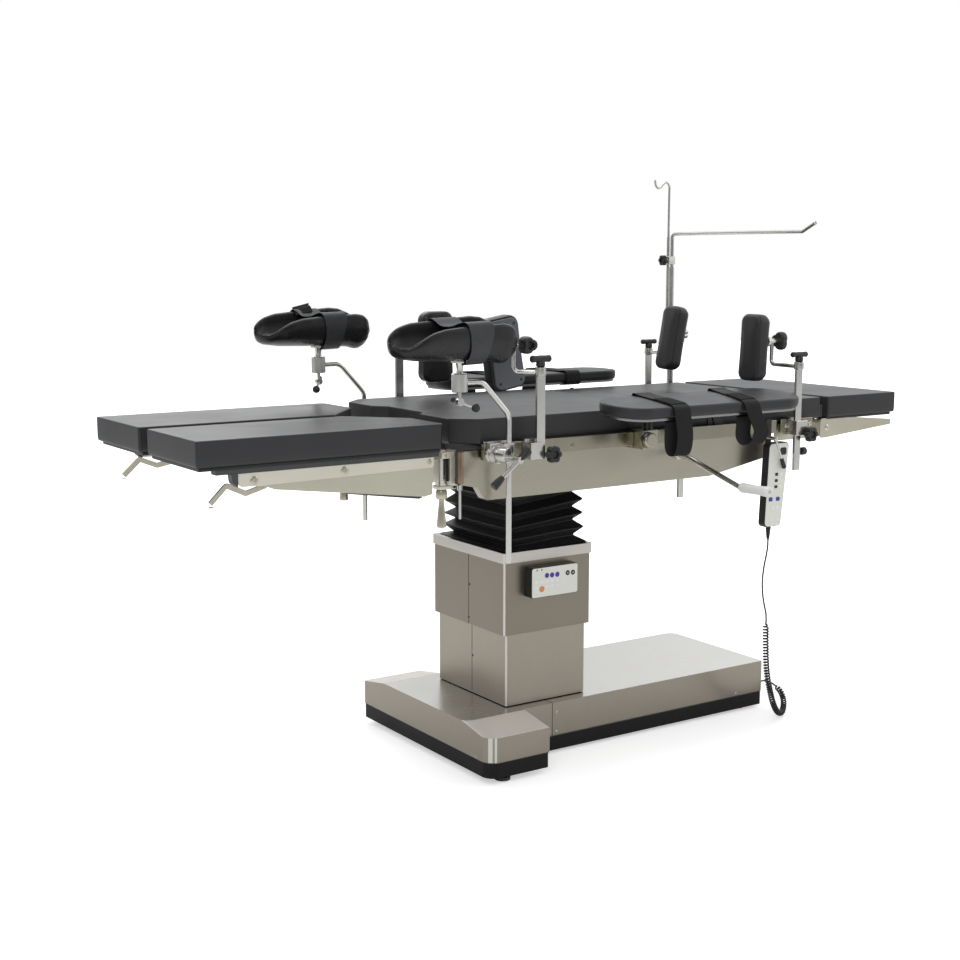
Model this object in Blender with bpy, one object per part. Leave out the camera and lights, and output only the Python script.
"""Electro-hydraulic operating table, in metres, +Z up.

+X runs toward the head end and -Y toward the near side. Places are counted from the column's axis, and
the root empty moves the whole table so that its origin lies on the floor under the middle of its box.
"""

import math

import bmesh
import bpy
from mathutils import Vector

# Fits
gap = 0.0003  # between faces that touch
play = 0.0005  # between pieces that slide or turn in each other
sink = 0.002  # how far one shape of a piece reaches into the next
overrun = 0.004  # how far a cutter reaches past what it cuts
step_in = 0.0007  # by how much one joined shape stands back from the face of the other

# Table top
pad_half_width = 0.2975
pad_underside = 0.833
pad_thickness = 0.058
pad_edge = 0.008
pad_crown = 0.003
pad_corner = 0.014
seat_pad_foot_x = -0.345
seat_pad_length = 0.633
seat_corner_cut = 0.0485
relief_half_width = 0.088
relief_depth = 0.039
strip_gap = 0.0025
kidney_pad_length = 0.1285
back_pad_length = 0.400
head_gap = 0.025
head_pad_length = 0.2775
leg_gap = 0.047
leg_pad_length = 0.610
leg_parting = 0.040
leg_inner_cut = 0.116
leg_inner_cut_width = 0.130
leg_outer_cut = 0.012
board_thickness = 0.0075
board_inset = 0.0075

# Side panels and rails
panel_outer = 0.300
panel_depth = 0.024
panel_wall = 0.004
panel_foot_x = -0.350
panel_head_x = 0.640
panel_top = 0.823
panel_foot_low = 0.7456
panel_knee_x = -0.280
panel_knee_low = 0.704
panel_rise_x = 0.424
panel_head_low = 0.742
panel_curve_x_share = 0.25
panel_curve_drop_share = 0.435
rail_outer = 0.320
rail_thickness = 0.012
rail_low = 0.805
rail_height = 0.035
rail_foot_x = -0.299
rail_spacer_radius = 0.008
rail_spacer_places = (-0.272, 0.060, 0.420, 0.600)
ear_thickness = 0.0026
ear_radius = 0.008
ear_foot = 0.026
back_hinge_height = 0.884
hinge_pin_radius = 0.0045

# Seat frame and the carriage that it slides on
channel_inner = 0.0995
channel_outer = 0.1475
channel_low = 0.760
channel_top = 0.782
channel_web = 0.006
channel_foot_x = -0.160
channel_head_x = 0.480
beam_width = 0.040
seat_beam_places = (-0.130, 0.250)
low_beam_places = (0.355, 0.460)
low_beam_top = 0.798
shoe_length = 0.260
carriage_half_width = 0.142
carriage_low = 0.7313
carriage_thickness = 0.015
lateral_height = 0.708
lateral_pin_radius = 0.012
lug_thickness = 0.020
lug_place = 0.052
lug_half_width = 0.022
trend_height = 0.655
trend_pin_radius = 0.012
block_half_length = 0.036
block_half_width = 0.060
block_low = 0.632
block_top = 0.684
cheek_thickness = 0.018
cheek_half_length = 0.036
cheek_top = 0.678

# Kidney bridge
bridge_rod_radius = 0.0085
bridge_rod_place = 0.262
bridge_rod_low = 0.649
crank_x = 0.306
crank_drop = 0.037
crank_shaft_length = 0.045
crank_arm_run = 0.195
crank_grip_length = 0.106
crank_throw = 0.055
crank_rod_radius = 0.0065
crank_grip_radius = 0.013

# Back and head sections
back_rib_place = 0.190
rib_width = 0.020
rib_height = 0.026
back_rib_foot_x = 0.500
back_plate_foot_x = 0.660
back_plate_low = 0.780
back_plate_end_x = 0.780
back_rail_foot_x = 0.655
back_rail_head_x = {-1: 0.775, 1: 0.850}
back_plate_outer = 0.2965
head_hinge_x = 0.834
head_hinge_height = 0.820
head_arm_place = 0.242
head_arm_thickness = 0.008
head_arm_radius = 0.011
head_pin_radius = 0.006
head_bracket_inner = 0.254
head_bracket_outer = 0.290
head_bracket_low = 0.775
head_bracket_top = 0.831
head_bracket_end_x = 1.120
head_bracket_end_low = 0.797
head_bracket_end_top = 0.812
head_board_foot_x = 0.858

# Leg sections
fold_x = -0.340
fold_height = 0.790
fold_barrel_radius = 0.011
fold_pin_radius = 0.0055
fold_barrel_inner = 0.222
swing_x = -0.367
swing_place = 0.241
swing_pin_radius = 0.009
knuckle_radius = 0.015
knuckle_low = 0.7395
knuckle_top = 0.8125
lug_half_reach = 0.015
swing_lug_thickness = 0.009
block_web_half = 0.006
handle_radius = 0.016
handle_step = 0.704
handle_low = 0.637
handle_tip_radius = 0.007
bracket_outer = 0.290
bracket_thickness = 0.028
bracket_foot_x = -0.905
bracket_head_x = -0.420
bracket_top = 0.815
bracket_foot_low = 0.783
bracket_knee_x = -0.818
bracket_knee_low = 0.774
bracket_head_low = 0.724
bracket_end_cut = 0.021
leg_rib_width = 0.022
leg_web_width = 0.018
lever_root = (-0.836, 0.780)
lever_low_knee = (-0.872, 0.764)
lever_high_knee = (-0.916, 0.784)
lever_tip = (-0.955, 0.749)
lever_place = 0.2525
lever_thickness = 0.006
lever_depth = 0.014
lever_boss_radius = 0.010
lever_pin_radius = 0.004

# Column
lift_shell_half = (0.136, 0.1665)
lower_shell_half = (0.1256, 0.160)
shell_wall = 0.0025
shell_corner = 0.007
plinth_recess = 0.006
plinth_height = 0.0065
lower_shell_top = 0.348
upper_shell_low = 0.324
cap_top = 0.535
cap_thickness = 0.003
cap_overhang = 0.0025
cap_rim_height = 0.023
mast_plate_half = (0.118, 0.152)
mast_plate_low = 0.518
mast_rim_thickness = 0.0037
mast_half = 0.064
mast_wall = 0.007
mast_low = 0.210
guide_wall = 0.008
guide_top = 0.335
ram_barrel_radius = 0.036
ram_rod_radius = 0.018
ram_rod_low = 0.205
ram_floor = 0.008
bellows_half = (0.122, 0.150)
bellows_fold_depth = 0.019
bellows_wall = 0.007
bellows_half_folds = 11
bellows_corner = 0.020

# Control box
box_reach = 0.0292
box_half_length = 0.0728
box_low = 0.4184
box_height = 0.078
box_corner = 0.004
keypad_border = 0.008
keypad_thickness = 0.0015
key_columns = 5
key_rows = 3
key_size = 0.0065
key_pitch = 0.0105
key_rise = 0.0008

# Base
base_foot_x = -0.2765
base_neck_x = -0.096
base_seam_x = -0.004
base_head_x = 0.736
base_half_width = 0.309
body_half_width = 0.195
cover_top = 0.136
cover_flat_half_width = 0.202
cover_side_top = 0.118
cover_corner = 0.035
cover_low = 0.056
body_cover_low = 0.048
cover_wall = 0.003
body_corner = 0.035
column_opening_clearance = 0.0035
skirt_inset = 0.002
skirt_wall = 0.012
skirt_low = 0.015
body_skirt_low = 0.008
chassis_low = 0.018
chassis_top = 0.036
chassis_end_x = 0.640
chassis_end_half_width = 0.150
foot_place = (-0.215, 0.276)
foot_radius = 0.020
foot_height = 0.008
foot_stem_radius = 0.008
wheel_x = 0.673
wheel_place = 0.166
wheel_radius = 0.032
wheel_width = 0.024
wheel_crown = 0.003
axle_radius = 0.006
bearing_length = 0.030
power_unit_foot_x = 0.190
tank_length = 0.140
tank_half_width = 0.090
tank_height = 0.072
motor_length = 0.110
motor_radius = 0.036

# Leg holders
holder_x = -0.246
post_place = 0.345
holder_rod_radius = 0.0065
holder_rod_low = 0.557
holder_rod_knee = 0.907
holder_rod_top = 0.986
holder_bend_x = -0.321
holder_head_x = -0.381
holder_head_radius = 0.019
holder_head_low = 0.961
holder_head_height = 0.047
holder_neck_height = 0.012
holder_lever_height = 0.933
holder_ball_radius = 0.010
holder_lever_reach = 0.386
holder_bend_radius = 0.030
clamp_reach = 0.356
clamp_low = 0.798
clamp_top = 0.846
clamp_half_length = 0.028
tee_height = 0.788
tee_place = 0.380
tee_half_length = 0.040
tee_half_drop = 0.032
tee_radius = 0.005
tee_grip_radius = 0.009
tee_grip_share = 0.3
gutter_foot_x = -0.576
gutter_head_x = -0.222
gutter_half_width = 0.062
gutter_head_half_width = 0.044
gutter_depth = 0.088
gutter_thickness = 0.014
gutter_underside = 1.040
gutter_tip_rise = 0.036
gutter_stem_radius = 0.009
gutter_tip_share = 0.2
gutter_foot_depth_share = 0.62
gutter_full_depth_share = 0.59
gutter_flatness_share = 0.7
gutter_stations = 9
gutter_arc_points = 7

# Hip and shoulder supports
hip_post_x = {-1: -0.153, 1: -0.135}
hip_pad_shift = {-1: -0.040, 1: 0.045}
hip_post_low = 0.782
hip_post_top = 1.028
hip_pad_low = 0.966
hip_pad_height = 0.169
hip_pad_width = 0.086
hip_pad_inner = 0.218
hip_pad_shift_share = 1.3
hip_knob_rise = 0.102
shoulder_post_x = {-1: 0.690, 1: 0.750}
shoulder_pad_x = {-1: 0.650, 1: 0.690}
shoulder_pad_place = {-1: 0.215, 1: 0.180}
shoulder_post_low = 0.704
shoulder_post_top = 0.999
shoulder_pad_low = 0.943
shoulder_pad_height = 0.171
shoulder_pad_width = 0.102
shoulder_knob_rise = 0.103
support_pad_thickness = 0.042
support_pad_corner = 0.028
support_plate_thickness = 0.006
support_plate_margin = 0.014
support_rod_radius = 0.0055
support_stud_radius = 0.007
post_depth = 0.020
post_thickness = 0.008
post_pin_radius = 0.006
post_eye_radius = 0.013
post_eye_height = 0.020
tee_knob_height = 0.026
tee_knob_half_length = 0.026
tee_knob_radius = 0.0055
star_radius = 0.020
star_depth = 0.003
star_thickness = 0.016
star_lobes = 6
trilobe_radius = 0.019
trilobe_depth = 0.005
trilobe_lobes = 3
support_clamp_half_length = 0.024

# Arm boards
arm_foot_x = -0.003
arm_length = 0.643
arm_inner = 0.306
arm_width = 0.152
arm_board_low = 0.893
arm_board_thickness = 0.006
arm_pad_thickness = 0.036
arm_end_radius = 0.060
arm_pivot_x = 0.173
arm_post_radius = 0.011
arm_flange_radius = 0.024
arm_flange_thickness = 0.008
drum_radius = 0.020
drum_thickness = 0.022
strap_width = 0.040
strap_places_share = (0.42, 0.62)
strap_drop = 0.012
strap_wall = 0.002

# Screen and infusion pole
screen_x = 0.829
screen_place = 0.336
screen_tube_radius = 0.010
screen_head_radius = 0.017
screen_tube_low = 0.745
screen_tube_top = 1.250
screen_rod_radius = 0.0055
screen_rod_low = 1.080
screen_bore_low = 0.940
screen_bar_height = 1.339
screen_bar_end = -0.199
screen_bar_tip_rise = 0.016
screen_rod_top = 1.480
hook_half_length = 0.026
hook_rise = 0.013
hook_radius = 0.0037
screen_star_height = 1.262

# Handset and its cord
handset_x = 0.608
handset_front = 0.356
handset_depth = 0.023
handset_top = 0.785
handset_low = 0.563
handset_top_half_width = 0.035
handset_low_half_width = 0.0265
handset_lean = 0.012
handset_corner = 0.012
relief_low = 0.5253
relief_top_radius = 0.007
relief_low_radius = 0.0035
relief_x = 0.595
hook_width = 0.020
hook_thickness = 0.003
cord_radius = 0.00225
cord_point_step = 0.0055
curl_radius = 0.00625
curl_pitch = 0.0085
curl_points = 8
curl_lead = 0.010
gland_place = (-0.178, 0.069)
gland_radius = 0.007
gland_length = 0.008
cord_route = (
    (0.5950, -0.3450, 0.5250),
    (0.5945, -0.3450, 0.5050),
    (0.5900, -0.3450, 0.4800),
    (0.5830, -0.3450, 0.4500),
    (0.5785, -0.3455, 0.4160),
    (0.5800, -0.3460, 0.3800),
    (0.5865, -0.3465, 0.3480),
    (0.5930, -0.3470, 0.3250),
    (0.5950, -0.3470, 0.3050),
)
curly_route = (
    (0.5950, -0.3470, 0.3047),
    (0.5952, -0.3465, 0.2850),
    (0.5975, -0.3450, 0.2480),
    (0.6030, -0.3430, 0.1900),
    (0.6110, -0.3400, 0.1500),
    (0.6240, -0.3370, 0.1100),
    (0.6480, -0.3280, 0.0620),
    (0.6800, -0.3130, 0.0270),
    (0.7120, -0.2960, 0.0125),
    (0.7440, -0.2730, 0.0140),
    (0.7680, -0.2500, 0.0280),
    (0.7790, -0.2270, 0.0450),
    (0.7790, -0.2040, 0.0580),
    (0.7730, -0.1880, 0.0650),
    (0.7600, -0.1790, 0.0690),
    (0.7443, -0.1780, 0.0690),
)
curls_stop_share = 0.90

# Counts
fillet_steps = 2
wide_fillet_steps = 4
round_sides = 12
rod_sides = 8
hook_sides = 6

# Materials: colour, metallic, roughness
finishes = {
    "cream_steel": ((0.58, 0.56, 0.48), 1.0, 0.32),
    "brown_steel": ((0.36, 0.33, 0.29), 1.0, 0.34),
    "bright_steel": ((0.62, 0.62, 0.60), 1.0, 0.22),
    "dark_frame": ((0.05, 0.05, 0.05), 0.0, 0.55),
    "dark_leather": ((0.045, 0.045, 0.048), 0.0, 0.48),
    "black_rubber": ((0.012, 0.012, 0.013), 0.0, 0.62),
    "black_plastic": ((0.015, 0.015, 0.015), 0.0, 0.35),
    "white_plastic": ((0.72, 0.72, 0.70), 0.0, 0.40),
    "grey_paint": ((0.30, 0.31, 0.32), 0.0, 0.50),
    "orange_wheel": ((0.70, 0.20, 0.03), 0.0, 0.45),
}

# Places worked out from the sizes
pad_top = pad_underside + pad_thickness
seat_pad_head_x = seat_pad_foot_x + seat_pad_length
kidney_pad_foot_x = seat_pad_head_x + strip_gap
kidney_pad_head_x = kidney_pad_foot_x + kidney_pad_length
back_pad_foot_x = kidney_pad_head_x + strip_gap
back_pad_head_x = back_pad_foot_x + back_pad_length
head_pad_foot_x = back_pad_head_x + head_gap
head_pad_head_x = head_pad_foot_x + head_pad_length
leg_pad_head_x = seat_pad_foot_x - leg_gap
leg_pad_foot_x = leg_pad_head_x - leg_pad_length
board_top = pad_underside - gap
board_low = board_top - board_thickness
panel_inner = panel_outer - panel_wall
rail_inner = rail_outer - rail_thickness
rail_top = rail_low + rail_height
back_hinge_x = back_pad_foot_x + sink
mast_plate_top = cap_top - cap_thickness - gap
guide_half = mast_half + play + guide_wall
opening_half = guide_half + column_opening_clearance
bellows_low = cap_top + gap
bellows_top = carriage_low - gap
chassis_floor = chassis_top + gap
kidney_middle_x = (kidney_pad_foot_x + kidney_pad_head_x) / 2
crank_height = rail_low - crank_drop
hip_knob_height = hip_pad_low + hip_knob_rise
shoulder_knob_height = shoulder_pad_low + shoulder_knob_rise
crank_elbow_y = -panel_outer - crank_shaft_length
crank_wrist_y = crank_elbow_y - crank_arm_run
crank_end_y = crank_wrist_y - crank_grip_length
middle_x = (leg_pad_foot_x + head_pad_head_x) / 2
middle_y = (crank_end_y + arm_inner + arm_width) / 2
holder_stem_foot = holder_head_low + holder_head_height + holder_neck_height
clamp_back = rail_outer + gap
arm_post_top = arm_board_low - gap

# Each body with its parent and the point on its joint's axis
bodies = {
    "base": (None, (0, 0, 0)),
    "castors": ("base", (wheel_x, 0, wheel_radius)),
    "lift": ("base", (0, 0, cap_top)),
    "tilt": ("lift", (0, 0, trend_height)),
    "carriage": ("tilt", (0, 0, lateral_height)),
    "frame": ("carriage", (0, 0, channel_low)),
    "bridge": ("frame", (kidney_middle_x, 0, pad_underside)),
    "crank": ("frame", (crank_x, -panel_outer, crank_height)),
    "back": ("frame", (back_hinge_x, 0, back_hinge_height)),
    "head": ("back", (head_hinge_x, 0, head_hinge_height)),
    "screen": ("back", (screen_x, screen_place, screen_tube_top)),
    "handset": ("frame", (handset_x, -rail_outer, rail_top)),
}
side_names = {-1: "near", 1: "far"}


def side_body(kind, side):
    return f"{kind}_{side_names[side]}"


for near_or_far in side_names:
    y = near_or_far * post_place
    hip = (hip_post_x[near_or_far], y, hip_post_top)
    shoulder = (shoulder_post_x[near_or_far], y, shoulder_post_top)
    leg_point = (swing_x, near_or_far * swing_place, knuckle_low)
    lever_point = (lever_root[0], near_or_far * lever_place, lever_root[1])
    for kind, parent, point in (
        ("fold", "frame", (fold_x, near_or_far * swing_place, fold_height)),
        ("leg", side_body("fold", near_or_far), leg_point),
        ("lever", side_body("leg", near_or_far), lever_point),
        ("holder", "frame", (holder_x, y, clamp_top)),
        ("gutter", side_body("holder", near_or_far), (holder_head_x, y, holder_stem_foot)),
        ("hip", "frame", hip),
        ("hip_pad", side_body("hip", near_or_far), hip),
        ("shoulder", "back", shoulder),
        ("shoulder_pad", side_body("shoulder", near_or_far), shoulder),
        ("arm", "frame", (arm_pivot_x, y, arm_post_top)),
    ):
        bodies[side_body(kind, near_or_far)] = (parent, point)


def clear_scene():
    for obj in list(bpy.data.objects):
        bpy.data.objects.remove(obj)


def make_material(name):
    colour, metallic, roughness = finishes[name]
    material = bpy.data.materials.new(name)
    material.use_nodes = True
    shader = material.node_tree.nodes["Principled BSDF"]
    shader.inputs["Base Color"].default_value = (*colour, 1)
    shader.inputs["Metallic"].default_value = metallic
    shader.inputs["Roughness"].default_value = roughness
    material.diffuse_color = (*colour, 1)
    return material


def make_axes():
    """One empty on each body's joint axis, parented as the joints are."""
    for name, (parent, point) in bodies.items():
        axis = bpy.data.objects.new(f"axis_{name}", None)
        bpy.context.scene.collection.objects.link(axis)
        before = bodies[parent][1] if parent else (middle_x, middle_y, 0)
        axis.location = Vector(point) - Vector(before)
        if parent:
            axis.parent = bpy.data.objects[f"axis_{parent}"]


# Shapes


def loft(rings):
    """A closed body through rings of equally many points, with a flat cap at each end."""
    shape = bmesh.new()
    rows = [[shape.verts.new(point) for point in ring] for ring in rings]
    for low_row, high_row in zip(rows, rows[1:]):
        for i, corner in enumerate(low_row):
            j = (i + 1) % len(low_row)
            shape.faces.new((corner, low_row[j], high_row[j], high_row[i]))
    shape.faces.new(rows[0])
    shape.faces.new(rows[-1])
    bmesh.ops.recalc_face_normals(shape, faces=shape.faces)
    return shape


def lift_points(outline, level, axis):
    """The outline's points at this level along the axis."""
    if axis == "X":
        return [(level, u, v) for u, v in outline]
    if axis == "Y":
        return [(u, level, v) for u, v in outline]
    return [(u, v, level) for u, v in outline]


def prism(outline, low, high, axis="Z"):
    return loft([lift_points(outline, low, axis), lift_points(outline, high, axis)])


def rectangle(u_low, u_high, v_low, v_high):
    return [(u_low, v_low), (u_high, v_low), (u_high, v_high), (u_low, v_high)]


def block(x_span, y_span, z_span):
    return prism(rectangle(*x_span, *y_span), *z_span)


def rounded(points, radius, steps=fillet_steps, closed=True):
    """The points' path with its corners turned into arcs, one radius for all or one for each."""
    radii = radius if isinstance(radius, (list, tuple)) else [radius] * len(points)
    found = []
    for i, point in enumerate(points):
        corner = Vector(point)
        if radii[i] == 0 or (not closed and i in (0, len(points) - 1)):
            found.append(corner)
            continue
        back = Vector(points[i - 1]) - corner
        ahead = Vector(points[(i + 1) % len(points)]) - corner
        half_angle = back.angle(ahead) / 2
        reach = min(radii[i] / math.tan(half_angle), back.length / 2, ahead.length / 2)
        inward = (back.normalized() + ahead.normalized()).normalized()
        centre = corner + inward * (reach / math.cos(half_angle))
        start = corner + back.normalized() * reach - centre
        stop = corner + ahead.normalized() * reach - centre
        size = start.length
        found += [centre + start.slerp(stop, step / steps).normalized() * size for step in range(steps + 1)]
    return found


def inset(outline, distance):
    """The outline, counterclockwise, moved inward by the distance."""
    moved = []
    for i, point in enumerate(outline):
        here = Vector(point)
        back = (here - Vector(outline[i - 1])).normalized()
        ahead = (Vector(outline[(i + 1) % len(outline)]) - here).normalized()
        inward = Vector((-back.y - ahead.y, back.x + ahead.x)).normalized()
        moved.append(here + inward * (distance / inward.dot(Vector((-back.y, back.x)))))
    return moved


def mirrored(outline, side):
    """The outline for the far side as it is, or for the near side turned over, counterclockwise."""
    return outline if side > 0 else [(u, -v) for u, v in reversed(outline)]


def frame_across(direction):
    """Two unit vectors square to the direction and to each other."""
    turn = Vector(direction).normalized().to_track_quat("Z", "Y")
    return turn @ Vector((1, 0, 0)), turn @ Vector((0, 1, 0))


def turned(profile, foot, direction, sides=round_sides):
    """A body turned from (radius, height) points about the direction through the foot."""
    across, along = frame_across(direction)
    rise = Vector(direction).normalized()
    turns = [2 * math.pi * i / sides for i in range(sides)]
    rings = []
    for radius, height in profile:
        centre = Vector(foot) + rise * height
        rings.append([centre + (across * math.cos(t) + along * math.sin(t)) * radius for t in turns])
    return loft(rings)


def cylinder(radius, foot, head, sides=round_sides):
    reach = Vector(head) - Vector(foot)
    return turned([(radius, 0), (radius, reach.length)], foot, reach, sides)


def ball(radius, centre, axis=(0, 0, 1), sides=round_sides):
    angles = [math.pi * (step + 1) / (sides // 2 + 1) for step in range(sides // 2)]
    profile = [(radius * math.sin(a), -radius * math.cos(a)) for a in angles]
    return turned(profile, centre, axis, sides)


def rod(points, radius, sides=rod_sides, bend=0):
    """A round rod through the points, with mitred or rounded bends."""
    path = [Vector(p) for p in (rounded(points, bend, closed=False) if bend else points)]
    runs = [(after - before).normalized() for before, after in zip(path, path[1:])]
    across = frame_across(runs[0])[0]
    turns = [2 * math.pi * i / sides for i in range(sides)]
    rings = []
    for point, back, ahead in zip(path, [runs[0]] + runs, runs + [runs[-1]]):
        tangent = (back + ahead).normalized()
        across = (across - tangent * across.dot(tangent)).normalized()
        along = tangent.cross(across)
        bend_way = (ahead - back).normalized()
        stretch = 1 / tangent.dot(ahead) - 1
        arms = [(across * math.cos(t) + along * math.sin(t)) * radius for t in turns]
        rings.append([point + arm + bend_way * (arm.dot(bend_way) * stretch) for arm in arms])
    return loft(rings)


def lobed(radius, depth, lobes, foot, direction, thickness, points_per_lobe=3):
    """A hand knob with lobes round its rim."""
    across, along = frame_across(direction)
    rise = Vector(direction).normalized()
    count = lobes * points_per_lobe
    rings = []
    for height in (0, thickness):
        ring = []
        for i in range(count):
            turn = 2 * math.pi * i / count
            reach = radius - depth + depth * math.cos(lobes * turn)
            arm = (across * math.cos(turn) + along * math.sin(turn)) * reach
            ring.append(Vector(foot) + rise * height + arm)
        rings.append(ring)
    return loft(rings)


cushion_side_shares = ((0, 0.55), (0.08, 0.15), (0.45, 0), (0.80, 0.12), (0.92, 0.42), (1, 1))


def cushion(outline, low, high, axis="Z", edge=pad_edge, crown=pad_crown):
    """A pad: its sides are drawn in at the seams, and its face at the high end is crowned."""
    rings = []
    shoulder_level = high - math.copysign(crown, high - low)
    for height_share, inset_share in cushion_side_shares:
        level = low + (shoulder_level - low) * height_share
        rings.append(lift_points(inset(outline, edge * inset_share), level, axis))
    shape = loft(rings)
    shape.faces.ensure_lookup_table()
    face = shape.faces[-1]
    middle = bmesh.ops.poke(shape, faces=[face])["verts"][0]
    middle.co["XYZ".index(axis)] = high
    bmesh.ops.recalc_face_normals(shape, faces=shape.faces)
    return shape


def mesh_from(shape, name, origin):
    mesh = bpy.data.meshes.new(name)
    shape.to_mesh(mesh)
    shape.free()
    for vertex in mesh.vertices:
        vertex.co -= Vector(origin)
    return mesh


def helper_collection(name, shapes, origin):
    """Hidden objects for a Boolean to join or to cut with."""
    group = bpy.data.collections.new(name)
    bpy.context.scene.collection.children.link(group)
    for i, shape in enumerate(shapes):
        helper = bpy.data.objects.new(f"{name}_{i}", mesh_from(shape, f"{name}_{i}", origin))
        helper.hide_render = True
        helper.display_type = "WIRE"
        group.objects.link(helper)
    return group


def piece(name, body, finish, shapes, cuts=(), later=()):
    """One object of the shapes joined, less the cuts, with the later shapes, on its body's joint axis."""
    origin = bodies[body][1]
    mesh = mesh_from(shapes[0], name, origin)
    obj = bpy.data.objects.new(name, mesh)
    bpy.context.scene.collection.objects.link(obj)
    for operation, others in (("UNION", shapes[1:]), ("DIFFERENCE", cuts), ("UNION", later)):
        if not others:
            continue
        group = helper_collection(f"{name}_helper", others, origin)
        modifier = obj.modifiers.new(operation.title(), "BOOLEAN")
        modifier.operation = operation
        modifier.operand_type = "COLLECTION"
        modifier.collection = group
        bpy.context.view_layer.update()
        evaluated = obj.evaluated_get(bpy.context.evaluated_depsgraph_get())
        joined = bpy.data.meshes.new_from_object(evaluated)
        obj.modifiers.remove(modifier)
        obj.data = joined
        for helper in list(group.objects):
            bpy.data.objects.remove(helper)
        bpy.data.collections.remove(group)
    return dress(obj, body, finish)


def dress(obj, body, finish):
    obj.data.name = obj.name
    obj.data.materials.clear()
    obj.data.materials.append(bpy.data.materials[finish])
    if obj.type == "MESH":
        obj.data.shade_smooth()
        obj.data.set_sharp_from_angle(angle=math.radians(35))
    obj.parent = bpy.data.objects[f"axis_{body}"]
    return obj


def sides_of(side, inner, outer):
    """The span in Y of what lies between these distances from the middle on one side."""
    return tuple(sorted((side * inner, side * outer)))


# Base


def base_chassis():
    inner = base_half_width - skirt_inset - skirt_wall - gap
    body_inner = body_half_width - skirt_inset - skirt_wall - gap
    foot_x = base_foot_x + skirt_inset + skirt_wall + gap
    neck_x = base_neck_x - skirt_inset - skirt_wall - gap
    level = (chassis_low, chassis_top)
    corner = cover_corner - skirt_inset - skirt_wall
    head_outline = rounded(rectangle(foot_x, neck_x, -inner, inner), [corner, 0, 0, corner], wide_fillet_steps)
    shapes = [
        prism(head_outline, *level),
        block((neck_x - sink, chassis_end_x), (-body_inner, body_inner), level),
        block((chassis_end_x - sink, base_head_x - skirt_inset - skirt_wall - gap),
              (-chassis_end_half_width, chassis_end_half_width), level),
        block((-guide_half, guide_half), (-guide_half, guide_half), (chassis_top - sink, guide_top)),
    ]
    for side in side_names:
        foot = (foot_place[0], side * foot_place[1], 0)
        shapes.append(turned([(foot_radius, 0), (foot_radius, foot_height),
                              (foot_stem_radius, foot_height), (foot_stem_radius, chassis_low + sink)],
                             foot, (0, 0, 1)))
        bearing = (wheel_x - axle_radius * 2, wheel_x + axle_radius * 2)
        shapes.append(block(bearing, sides_of(side, chassis_end_half_width - bearing_length, chassis_end_half_width),
                            (chassis_top - sink, wheel_radius + axle_radius * 2)))
    bore = mast_half + play
    axle_cut = axle_radius + play
    cuts = [
        block((-bore, bore), (-bore, bore), (chassis_top, guide_top + overrun)),
        cylinder(axle_cut, (wheel_x, -chassis_end_half_width - overrun, wheel_radius),
                 (wheel_x, chassis_end_half_width + overrun, wheel_radius)),
    ]
    return piece("base_chassis", "base", "dark_frame", shapes, cuts)


def head_cover_body(wall, low):
    """The wide end of the base: upright sides with rounded corners, and a top that slopes down at both sides."""
    half = base_half_width - wall
    flat = cover_flat_half_width - wall
    corner = cover_corner - wall
    corners = rectangle(base_foot_x + wall, base_neck_x - wall, -half, half)
    outline = rounded(corners, [corner, 0, 0, corner], wide_fillet_steps)
    top = [(x, y * flat / half) for x, y in outline]
    return loft([lift_points(outline, low, "Z"), lift_points(outline, cover_side_top - wall, "Z"),
                 lift_points(top, cover_top - wall, "Z")])


def base_head_cover():
    neck = body_half_width
    shapes = [
        head_cover_body(0, cover_low),
        block((base_neck_x - sink, base_seam_x), (-neck, neck), (body_cover_low, cover_top)),
    ]
    inner_neck = neck - cover_wall
    cuts = [
        head_cover_body(cover_wall, cover_low - overrun),
        block((base_neck_x - cover_wall - sink, base_seam_x + overrun), (-inner_neck, inner_neck),
              (body_cover_low - overrun, cover_top - cover_wall)),
        column_opening(),
    ]
    return piece("base_head_cover", "base", "brown_steel", shapes, cuts)


def column_opening():
    return block((-opening_half, opening_half), (-opening_half, opening_half),
                 (cover_top - cover_wall - overrun, cover_top + overrun))


def base_body_cover():
    def outline(wall, foot_x):
        corners = rectangle(foot_x, base_head_x - wall, wall - body_half_width, body_half_width - wall)
        return rounded(corners, [0, body_corner - wall, body_corner - wall, 0], wide_fillet_steps)

    gland_y, gland_z = gland_place
    foot_x = base_seam_x + gap
    shapes = [
        prism(outline(0, foot_x), body_cover_low, cover_top),
        cylinder(gland_radius, (base_head_x - body_corner, gland_y, gland_z),
                 (base_head_x + gland_length, gland_y, gland_z)),
    ]
    cuts = [
        prism(outline(cover_wall, foot_x - overrun), body_cover_low - overrun, cover_top - cover_wall),
        column_opening(),
    ]
    return piece("base_body_cover", "base", "brown_steel", shapes, cuts)


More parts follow.
